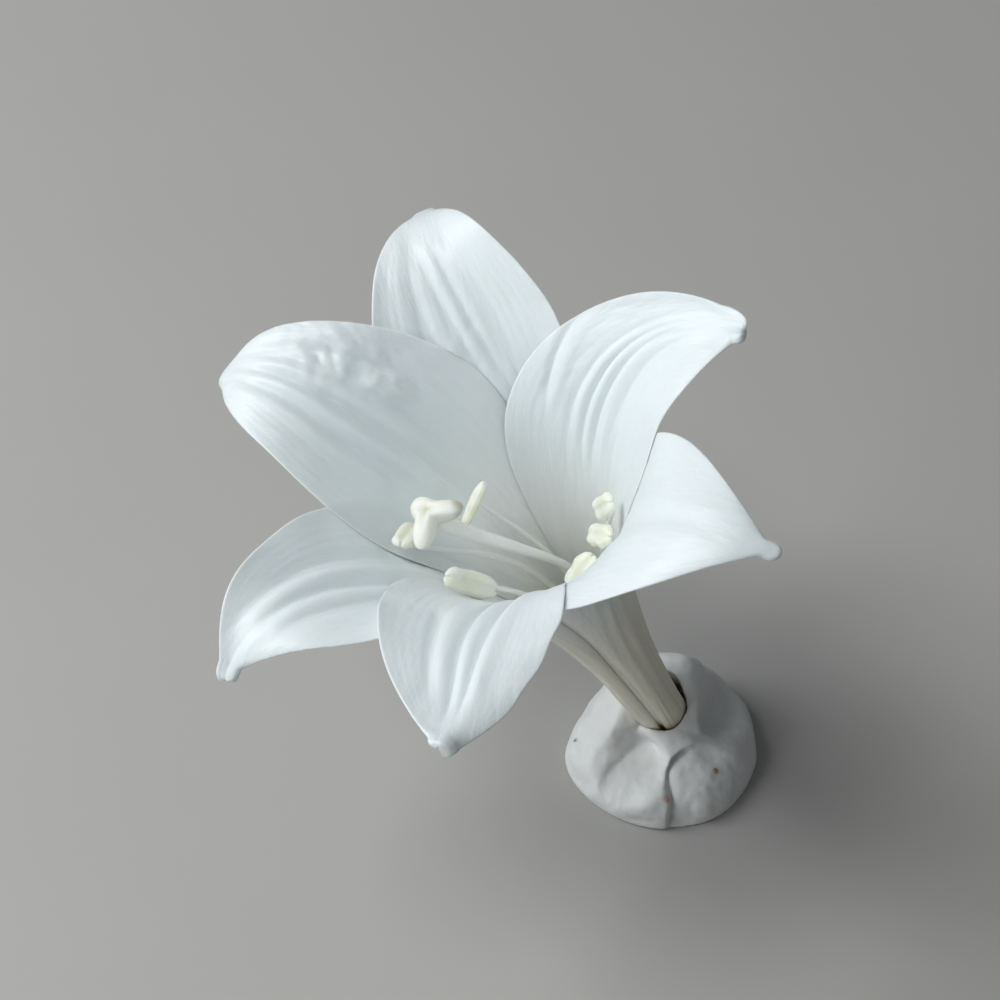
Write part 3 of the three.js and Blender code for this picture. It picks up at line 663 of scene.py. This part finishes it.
def build_stamen(stamen, anther_material, filament_material):
    start, end = np.array(stamen["start"], float), np.array(stamen["end"], float)
    centre, axes = (start + end) / 2, anther_axes(stamen)
    name = stamen["name"]
    shape = anther_point(np.linalg.norm(end - start) / 2, centre[2])
    anther = ball("anther_cells_" + name, shape, 72, 48, centre, axes)
    install(anther, "anther_" + name, anther_material)
    towards = around(math.degrees(math.atan2(centre[1], centre[0])) + stamen["grip"], 1, -1)
    back = unit(towards - axes[2] * (towards @ axes[2]))
    reach = math.hypot(ANTHER["half_width"] * (back @ axes[0]), ANTHER["half_thickness"] * (back @ axes[1]))
    tip = centre + back * (reach + SEAT_GAP + FILAMENT["radius"])
    straight_z = FILAMENT_RISE[-1][1]
    middle_z = straight_z + (tip[2] - straight_z) * FILAMENT_BOW["share"]
    foot = stamen["foot"]
    turn = turn_between(math.degrees(math.atan2(tip[1], tip[0])), foot)
    radius, _, _ = guide(np.array([float(foot)]), np.array([middle_z]))
    rise = [around(foot, *place) for place in FILAMENT_RISE]
    bow = around(foot + turn / 2, FILAMENT_BOW["of_wall"] * radius[0], middle_z)
    path = centripetal(rise + [bow, tip], 110)
    path = np.vstack([path, tip + (centre - tip) * 0.45])

    def taper(t):
        return FILAMENT["radius"] + FILAMENT["swell"] * math.sin(math.pi * t) - FILAMENT["thinning"] * t

    filament = rod("filament_rod_" + name, path, taper, 18)
    install(filament, "filament_" + name, filament_material)


# ---- Clay ----

# The clay is three lumps pressed together: a low one under the flower, a ridge on its left and a hill
# behind it. A facet is the azimuth and the elevation of its outward direction, and its distance from the
# core.
CLAY_CORE = np.array([0, 0, 6.0])
FACET_SOFTNESS = 12
SIDE_FACETS = [
    (0, -90, 6.4), (180, 18, 20.2), (205, 14, 20.2), (230, 10, 19.2), (250, 10, 19.4), (272, 8, 19),
    (300, 12, 19.2), (330, 14, 19.2), (3, 16, 19.1), (35, 22, 19.4), (62, 15, 20), (92, 8, 19),
    (130, 12, 18.2), (155, 20, 17.2),
]
CLAY_LUMPS = [
    SIDE_FACETS + [
        (235, 52, 11.8), (285, 60, 9.2), (325, 60, 9.2), (20, 62, 9.8), (100, 80, 6.4), (200, 74, 6.2),
        (270, 78, 5.8),
    ],
    SIDE_FACETS + [(172, 33, 18), (205, 55, 11.6), (305, 45, 1.3), (80, 70, 12)],
    SIDE_FACETS + [
        (172, 33, 18.4), (130, 32, 19), (92, 38, 22.3), (60, 36, 22), (28, 40, 17), (332, 45, 10.2),
        (258, 48, 4.4), (215, 50, 10.6), (80, 84, 16.9), (150, 70, 13.6),
    ],
]
# Presses of a thumb, deeper than 0 inwards, and the fold where the right lobe was pushed under the left.
# They are deeper and steeper than the solid's. The solid has neither the low rims of the first press, which
# are the second and third here, nor the crack along the fold.
PRESSES = [
    dict(at=(-7.2, -8.4, 8.4), reach=7.2, depth=4.4, edge=7),
    dict(at=(-4, -2.2, 13.5), reach=3.2, depth=-0.9, edge=2),
    dict(at=(-15, -6, 9), reach=3.4, depth=-0.7, edge=2),
    dict(at=(13.4, 5.5, 11), reach=6.2, depth=5.2, edge=5),
    dict(at=(10, -0.6, 11), reach=4, depth=1.2, edge=3),
    dict(at=(3.6, -3.2, 11.6), reach=4, depth=-0.8, edge=2),
    dict(at=(13, -10.5, 8), reach=5, depth=0.8, edge=2),
]
FOLD = dict(
    path=[
        (9.5, -3.6), (7, -4.3), (3.9, -6.5), (1.9, -8.2), (0.6, -10.8), (0.2, -14.2), (1.2, -17),
        (0.9, -22),
    ],
    depth=3.3, width=0.6, reach=5, crack=1.3,
)
HOLE = dict(below=4.8, above=24, foot_radius=5.6, mouth_radius=7.2)
CLAY_COLUMNS = 300
CLAY_LEVELS = 130
CLAY_VOXEL = 0.34
# Unevenness of the skin: the length and the height of each kind
CLAY_NOISE = [(5, 0.65), (1.7, 0.11)]
# Stains, seen from above: the place and the radius of each
CLAY_STAINS = {
    "stain_red": ((11.0, -8.8), 0.8),
    "stain_pink": ((0.2, -15.6), 1.1),
    "stain_dark": ((-19.0, -0.6), 0.6),
}


def lump_reach(direction, facets):
    azimuth, elevation, distance = np.array(facets, float).T
    turn, tilt = np.radians(azimuth), np.radians(elevation)
    outward = np.stack([np.cos(tilt) * np.cos(turn), np.cos(tilt) * np.sin(turn), np.sin(tilt)])
    towards = np.maximum(direction @ outward, 1e-3)
    return ((towards / distance) ** FACET_SOFTNESS).sum(-1) ** (-1 / FACET_SOFTNESS)


def beside_fold(points):
    """Distance from the fold in plan, positive on its right."""
    here = points[..., :2]
    nearest = np.full(here.shape[:-1], np.inf)
    path = np.array(FOLD["path"])
    for start, step in zip(path[:-1], np.diff(path, axis=0)):
        offset = here - start
        t = np.clip((offset @ step) / (step @ step), 0, 1)
        distance = np.linalg.norm(offset - t[..., None] * step, axis=-1)
        side = np.where(step[0] * offset[..., 1] - step[1] * offset[..., 0] < 0, -1, 1)
        nearest = np.where(distance < np.abs(nearest), distance * side, nearest)
    return nearest


def clay_points(azimuth, v):
    """Points of the skin: v runs from the foot, 0, up over the side, to the top, 1."""
    turn, tilt = np.radians(azimuth), np.radians(120 * v - 30)
    direction = np.stack([np.cos(tilt) * np.cos(turn), np.cos(tilt) * np.sin(turn), np.sin(tilt)], -1)
    reach = np.max([lump_reach(direction, facets) for facets in CLAY_LUMPS], axis=0)
    points = CLAY_CORE + direction * reach[..., None]
    points[..., 2] = np.maximum(points[..., 2], 0)
    for press in PRESSES:
        away = np.linalg.norm(points - np.array(press["at"]), axis=-1) / press["reach"]
        sink = press["depth"] * np.exp(-(away ** press["edge"]))
        points = points + unit(CLAY_CORE - points) * sink[..., None]
    beside = beside_fold(points)
    step = smooth((beside + FOLD["width"] / 2) / FOLD["width"])
    step = step * np.exp(-np.maximum(beside, 0) / FOLD["reach"])
    crack = FOLD["crack"] * bell(beside, FOLD["width"])
    sink = (FOLD["depth"] * step + crack) * ramp(points[..., 2], 0, 1) * ramp(points[..., 1], -3, -8)
    points = points + unit(CLAY_CORE - points) * sink[..., None]
    points[..., 2] = np.maximum(points[..., 2], 0)
    return points


def build_clay(material):
    turns = np.arange(CLAY_COLUMNS) * 360 / CLAY_COLUMNS
    grid = clay_points(*np.meshgrid(turns, np.linspace(0, 0.99, CLAY_LEVELS)))
    top = clay_points(np.zeros(1), np.ones(1))
    points = np.concatenate([grid.reshape(-1, 3), [[0, 0, 0]], top])
    body = make_mesh("clay_lump", points, ring_faces(CLAY_LEVELS, CLAY_COLUMNS))

    depth = HOLE["below"] + HOLE["above"]
    cutter_mesh = bpy.data.meshes.new("hole")
    shape = bmesh.new()
    bmesh.ops.create_cone(
        shape, cap_ends=True, segments=64, depth=depth * MM,
        radius1=HOLE["foot_radius"] * MM, radius2=HOLE["mouth_radius"] * MM,
    )
    shape.to_mesh(cutter_mesh)
    shape.free()
    cutter = add_object("hole", cutter_mesh)
    axes = Matrix(np.stack([ACROSS, AWAY, UP], 1).tolist()).to_4x4()
    middle = TUBE_FOOT + UP * (depth / 2 - HOLE["below"])
    cutter.matrix_world = Matrix.Translation(Vector((middle * MM).tolist())) @ axes
    cut = body.modifiers.new("hole", "BOOLEAN")
    cut.object = cutter
    cut.operation = "DIFFERENCE"
    cut.solver = "EXACT"
    blend = body.modifiers.new("blend", "REMESH")
    blend.mode = "VOXEL"
    blend.voxel_size = CLAY_VOXEL * MM
    even = body.modifiers.new("even", "SMOOTH")
    even.factor = 0.5
    even.iterations = 3
    bpy.context.view_layer.update()
    mesh = bpy.data.meshes.new_from_object(body.evaluated_get(bpy.context.evaluated_depsgraph_get()))
    body.modifiers.clear()
    body.data = mesh
    bpy.data.objects.remove(cutter)
    count = len(mesh.vertices)
    place, normal = np.zeros(count * 3), np.zeros(count * 3)
    mesh.vertices.foreach_get("co", place)
    mesh.vertices.foreach_get("normal", normal)
    place, normal = place.reshape(-1, 3) / MM, normal.reshape(-1, 3)
    uneven = np.array([
        sum(rise * field.noise(Vector(p) / span) for span, rise in CLAY_NOISE) for p in place.tolist()
    ])
    place += normal * (uneven * ramp(place[:, 2], 0.1, 2.5))[:, None]
    place[:, 2] = np.maximum(place[:, 2], 0)
    mesh.vertices.foreach_set("co", (place * MM).ravel())
    mesh.update()
    for name, (at, radius) in CLAY_STAINS.items():
        away = np.linalg.norm(place[:, :2] - np.array(at), axis=-1)
        layer = mesh.attributes.new(name, "FLOAT", "POINT")
        stained = ramp(away, radius, 0.4 * radius) * (place[:, 2] > 3)
        layer.data.foreach_set("value", stained.astype(np.float32))
    mesh.polygons.foreach_set("use_smooth", [True] * len(mesh.polygons))
    return install(body, "clay", material)


# ---- Materials ----


class Shader:
    """A few words for building a material's nodes."""

    def __init__(self, name):
        self.material = bpy.data.materials.new(name)
        self.material.use_nodes = True
        self.tree = self.material.node_tree
        self.tree.nodes.clear()
        self.surface = self.node("BsdfPrincipled")
        self.node("OutputMaterial", Surface=self.surface.outputs[0])

    def node(self, kind, **inputs):
        """A node with these values or links; an underscore stands for a space in an input's name."""
        node = self.tree.nodes.new("ShaderNode" + kind)
        for key, value in inputs.items():
            self.put(node.inputs[key.replace("_", " ")], value)
        return node

    def put(self, socket, value):
        if isinstance(value, bpy.types.NodeSocket):
            self.tree.links.new(value, socket)
        elif isinstance(value, tuple) and len(value) == 3 and socket.type == "RGBA":
            socket.default_value = (*value, 1)
        else:
            socket.default_value = value

    def attribute(self, name):
        node = self.node("Attribute")
        node.attribute_name = name
        return node.outputs["Fac"]

    def place(self, scale=(1, 1, 1), uv=False):
        here = self.node("TexCoord").outputs["UV" if uv else "Object"]
        return self.node("Mapping", Vector=here, Scale=scale).outputs[0]

    def noise(self, where, scale, detail=3.0, rough=0.5, distort=0.0):
        node = self.node(
            "TexNoise", Vector=where, Scale=scale, Detail=detail, Roughness=rough, Distortion=distort,
        )
        return node.outputs["Fac"]

    def cells(self, where, scale):
        return self.node("TexVoronoi", Vector=where, Scale=scale).outputs["Distance"]

    def between(self, value, low, high, to_low=0.0, to_high=1.0):
        node = self.node(
            "MapRange", Value=value, From_Min=low, From_Max=high, To_Min=to_low, To_Max=to_high,
        )
        node.interpolation_type = "SMOOTHSTEP"
        return node.outputs["Result"]

    def math(self, operation, a, b=0.0):
        node = self.node("Math")
        node.operation = operation
        self.put(node.inputs[0], a)
        self.put(node.inputs[1], b)
        return node.outputs[0]

    def mix(self, share, a, b, blend="MIX"):
        node = self.node("Mix")
        node.data_type = "RGBA"
        node.blend_type = blend
        self.put(node.inputs[0], share)
        self.put(node.inputs[6], a)
        self.put(node.inputs[7], b)
        return node.outputs[2]

    def tint(self, color, where, amount, other, blend="MIX"):
        return self.mix(self.math("MULTIPLY", where, amount), color, other, blend)

    def bumps(self, *layers):
        """Layers of bump on each other; each is a height, a strength and a distance in metres."""
        under = {}
        for height, strength, distance in layers:
            node = self.node("Bump", Height=height, Strength=strength, Distance=distance, **under)
            under = dict(Normal=node.outputs[0])
        return node.outputs[0]

    def set(self, **values):
        names = dict(
            color="Base Color", roughness="Roughness", ior="IOR", normal="Normal",
            subsurface="Subsurface Weight", subsurface_radius="Subsurface Radius",
            subsurface_scale="Subsurface Scale", sheen="Sheen Weight", sheen_roughness="Sheen Roughness",
            coat="Coat Weight", coat_roughness="Coat Roughness",
        )
        for key, value in values.items():
            self.put(self.surface.inputs[names[key]], value)


def petal_material():
    look = Shader("petal_skin")
    along, inner = look.attribute("along"), look.attribute("inner_face")
    blade = look.place(uv=True)
    # Inside the tube, deep is the pale yellow-green low in the throat and throat is the white above it.
    # Their tints are the flower's own, but being lighter than the blade's white is painted light: it stands
    # in for light shining through the petals into the throat.
    white, throat, deep = (0.83, 0.885, 0.905), (0.97, 0.985, 0.955), (0.955, 0.965, 0.85)
    inside = look.mix(look.between(along, 0.08, 0.40), deep, throat)
    inside = look.mix(look.between(along, 0.42, 0.74), inside, white)
    foot, tube = (0.50, 0.39, 0.23), (0.93, 0.89, 0.76)
    outside = look.mix(look.between(along, 0.0, 0.06), foot, tube)
    outside = look.mix(look.between(along, 0.22, 0.60), outside, white)
    color = look.mix(inner, outside, inside)
    stripes = look.noise(look.place((30, 1.3, 1), uv=True), 1.0, 4.0, 0.6)
    hairs = look.noise(look.place((110, 2.4, 1), uv=True), 1.0, 2.0, 0.5)
    low = look.between(along, 0.62, 0.30)
    tone = look.math("MULTIPLY", look.between(stripes, 0.35, 0.7), low)
    color = look.tint(color, tone, 0.35, (0.74, 0.72, 0.60), "MULTIPLY")
    color = look.tint(color, hairs, 0.10, (0.74, 0.79, 0.78), "MULTIPLY")
    streak = look.noise(look.place((150, 1.1, 1), uv=True), 1.0, 3.0, 0.6)
    near_foot = look.math("MULTIPLY", look.between(along, 0.22, 0.02), look.between(streak, 0.52, 0.64))
    color = look.tint(color, near_foot, 0.55, (0.45, 0.33, 0.20), "MULTIPLY")
    cell = look.cells(look.place(), 1900)
    soft = look.noise(blade, 9, 4.0, 0.6)
    crinkle = look.noise(look.place((40, 22, 1), uv=True), 1.0, 4.0, 0.6, 0.6)
    normal = look.bumps(
        (stripes, 0.3, 0.0003), (soft, 0.35, 0.0008), (crinkle, 0.4, 0.0003), (hairs, 0.2, 0.00006),
        (cell, 0.25, 0.00006),
    )
    rough = look.between(look.noise(blade, 26, 3.0), 0.3, 0.7, 0.36, 0.52)
    look.set(
        color=color, roughness=rough, normal=normal, subsurface=1.0, subsurface_radius=(1.0, 0.97, 0.9),
        subsurface_scale=0.0007, sheen=0.05, sheen_roughness=0.4, ior=1.42,
        coat=0.15, coat_roughness=0.3,
    )
    return look.material


def cream_material(name, tint, tip, rough):
    look = Shader(name)
    grain = look.noise(look.place(), 900, 3.0)
    patch = look.noise(look.place(), 260, 3.0)
    color = look.mix(look.between(patch, 0.35, 0.7), tint, tip)
    normal = look.bumps((grain, 0.3, 0.0002), (look.cells(look.place(), 2600), 0.35, 0.00012))
    look.set(
        color=color, roughness=rough, normal=normal, subsurface=0.8, subsurface_radius=(1.0, 0.95, 0.75),
        subsurface_scale=0.0016, ior=1.4,
    )
    return look.material


def stigma_material():
    """Cream, greener in the middle and on the underside, and browned at the end of one lobe."""
    look = Shader("stigma_cream")
    middle, under, browned = look.attribute("middle"), look.attribute("under"), look.attribute("browned")
    patch = look.noise(look.place(), 420, 3.0)
    color = look.mix(look.between(patch, 0.3, 0.7), (0.87, 0.87, 0.83), (0.84, 0.84, 0.76))
    color = look.tint(color, under, 0.8, (0.74, 0.76, 0.34))
    color = look.tint(color, middle, 0.8, (0.60, 0.66, 0.36))
    stain = look.math("MULTIPLY", browned, look.between(patch, 0.2, 0.6, 0.7, 1.0))
    color = look.tint(color, stain, 0.85, (0.40, 0.37, 0.29))
    normal = look.bumps(
        (look.noise(look.place(), 700, 3.0), 0.35, 0.0002), (look.cells(look.place(), 3000), 0.3, 0.00008),
    )
    look.set(
        color=color, roughness=0.42, normal=normal, subsurface=0.7, subsurface_radius=(1.0, 0.95, 0.75),
        subsurface_scale=0.0014, ior=1.4,
    )
    return look.material


def style_material():
    look = Shader("style_green")
    along = look.attribute("along")
    color = look.mix(look.between(along, 0.35, 0.85), (0.93, 0.94, 0.80), (0.97, 0.97, 0.93))
    patch = look.noise(look.place((400, 400, 90)), 1.0, 3.0)
    color = look.tint(color, patch, 0.25, (0.92, 0.92, 0.84))
    normal = look.bumps((look.noise(look.place((900, 900, 160)), 1.0, 2.0), 0.3, 0.0001))
    look.set(
        color=color, roughness=0.38, normal=normal, subsurface=0.7, subsurface_radius=(1.0, 0.95, 0.7),
        subsurface_scale=0.0016, ior=1.42,
    )
    return look.material


def stalk_material():
    look = Shader("stalk_green")
    patch = look.noise(look.place((500, 500, 160)), 1.0, 4.0)
    color = look.mix(look.between(patch, 0.35, 0.7), (0.24, 0.26, 0.10), (0.38, 0.34, 0.16))
    normal = look.bumps((look.noise(look.place((1200, 1200, 200)), 1.0, 3.0), 0.4, 0.0002))
    look.set(color=color, roughness=0.55, normal=normal, subsurface=0.1, subsurface_scale=0.001)
    return look.material


def clay_material():
    look = Shader("clay_white")
    here = look.place()
    patch = look.noise(here, 70, 5.0, 0.6)
    color = look.mix(look.between(patch, 0.3, 0.75), (0.84, 0.85, 0.84), (0.91, 0.92, 0.91))
    dust = look.noise(here, 900, 4.0, 0.7)
    color = look.mix(look.between(dust, 0.64, 0.8, 0.0, 0.2), color, (0.5, 0.48, 0.44))
    tints = dict(stain_red=(0.42, 0.10, 0.06), stain_pink=(0.80, 0.50, 0.44), stain_dark=(0.2, 0.18, 0.15))
    for name, tint in tints.items():
        spot = look.math("MULTIPLY", look.attribute(name), look.between(dust, 0.3, 0.55, 0.4, 1.0))
        color = look.mix(spot, color, tint)
    swell = look.noise(here, 130, 3.0, 0.5, 0.6)
    creases = look.noise(look.place((1, 1, 2.4)), 320, 4.0, 0.6, 1.2)
    normal = look.bumps((swell, 0.5, 0.0006), (creases, 0.35, 0.0002), (dust, 0.3, 0.00005))
    look.set(
        color=color, roughness=0.6, normal=normal, subsurface=0.1, subsurface_radius=(1.0, 0.95, 0.9),
        subsurface_scale=0.0005, sheen=0.05, sheen_roughness=0.5,
    )
    return look.material


def floor_material():
    look = Shader("floor_grey")
    soft = look.noise(look.place(), 14, 3.0)
    color = look.mix(soft, (0.46, 0.45, 0.43), (0.49, 0.48, 0.46))
    look.set(color=color, roughness=0.6)
    return look.material


# ---- The object ----

petal_skin = petal_material()
for one in TEPALS:
    build_tepal(one, petal_skin)

cream = cream_material("anther_cream", (0.80, 0.81, 0.74), (0.76, 0.76, 0.64), 0.5)
green = style_material()
build_pistil(green, stigma_material())
for one in STAMENS:
    build_stamen(one, cream, green)

build_clay(clay_material())
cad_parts["receptacle"].data.materials[0] = stalk_material()

# ---- Studio ----


def build_floor():
    mesh = bpy.data.meshes.new("floor")
    mesh.from_pydata([(-4, -4, 0), (4, -4, 0), (4, 4, 0), (-4, 4, 0)], [], [(0, 1, 2, 3)])
    floor = add_object("floor", mesh)
    mesh.materials.append(floor_material())


def area_light(name, place, target, width, power, color):
    light = bpy.data.lights.new(name, "AREA")
    light.shape = "DISK"
    light.size = width
    light.energy = power
    light.color = color
    lamp = add_object(name, light)
    lamp.location = place
    lamp.rotation_euler = (Vector(target) - Vector(place)).to_track_quat("-Z", "Y").to_euler()


build_floor()
area_light("window", (-0.84, 0.12, 0.82), (-0.03, 0, 0.1), 0.7, 7.3, (0.94, 0.98, 1.0))
area_light("overhead", (-0.45, -0.16, 1.25), (-0.01, 0, 0.05), 0.4, 5.2, (0.98, 0.99, 0.97))
area_light("fill", (-0.8, -0.7, 0.32), (0, 0, 0.04), 0.4, 1.25, (0.98, 0.99, 1.0))

world = bpy.data.worlds.new("studio")
world.use_nodes = True
world.node_tree.nodes["Background"].inputs["Color"].default_value = (0.80, 0.84, 0.88, 1)
world.node_tree.nodes["Background"].inputs["Strength"].default_value = 0.12
bpy.context.scene.world = world
bpy.context.scene.view_settings.view_transform = "Standard"

lens = bpy.data.cameras.new("camera")
lens.lens = 84.67
lens.sensor_width = 36
camera = add_object("camera", lens)
camera.location = (-0.0354, -0.2512, 0.4553)
camera.rotation_euler = (math.radians(35), 0, 0)
bpy.context.scene.camera = camera
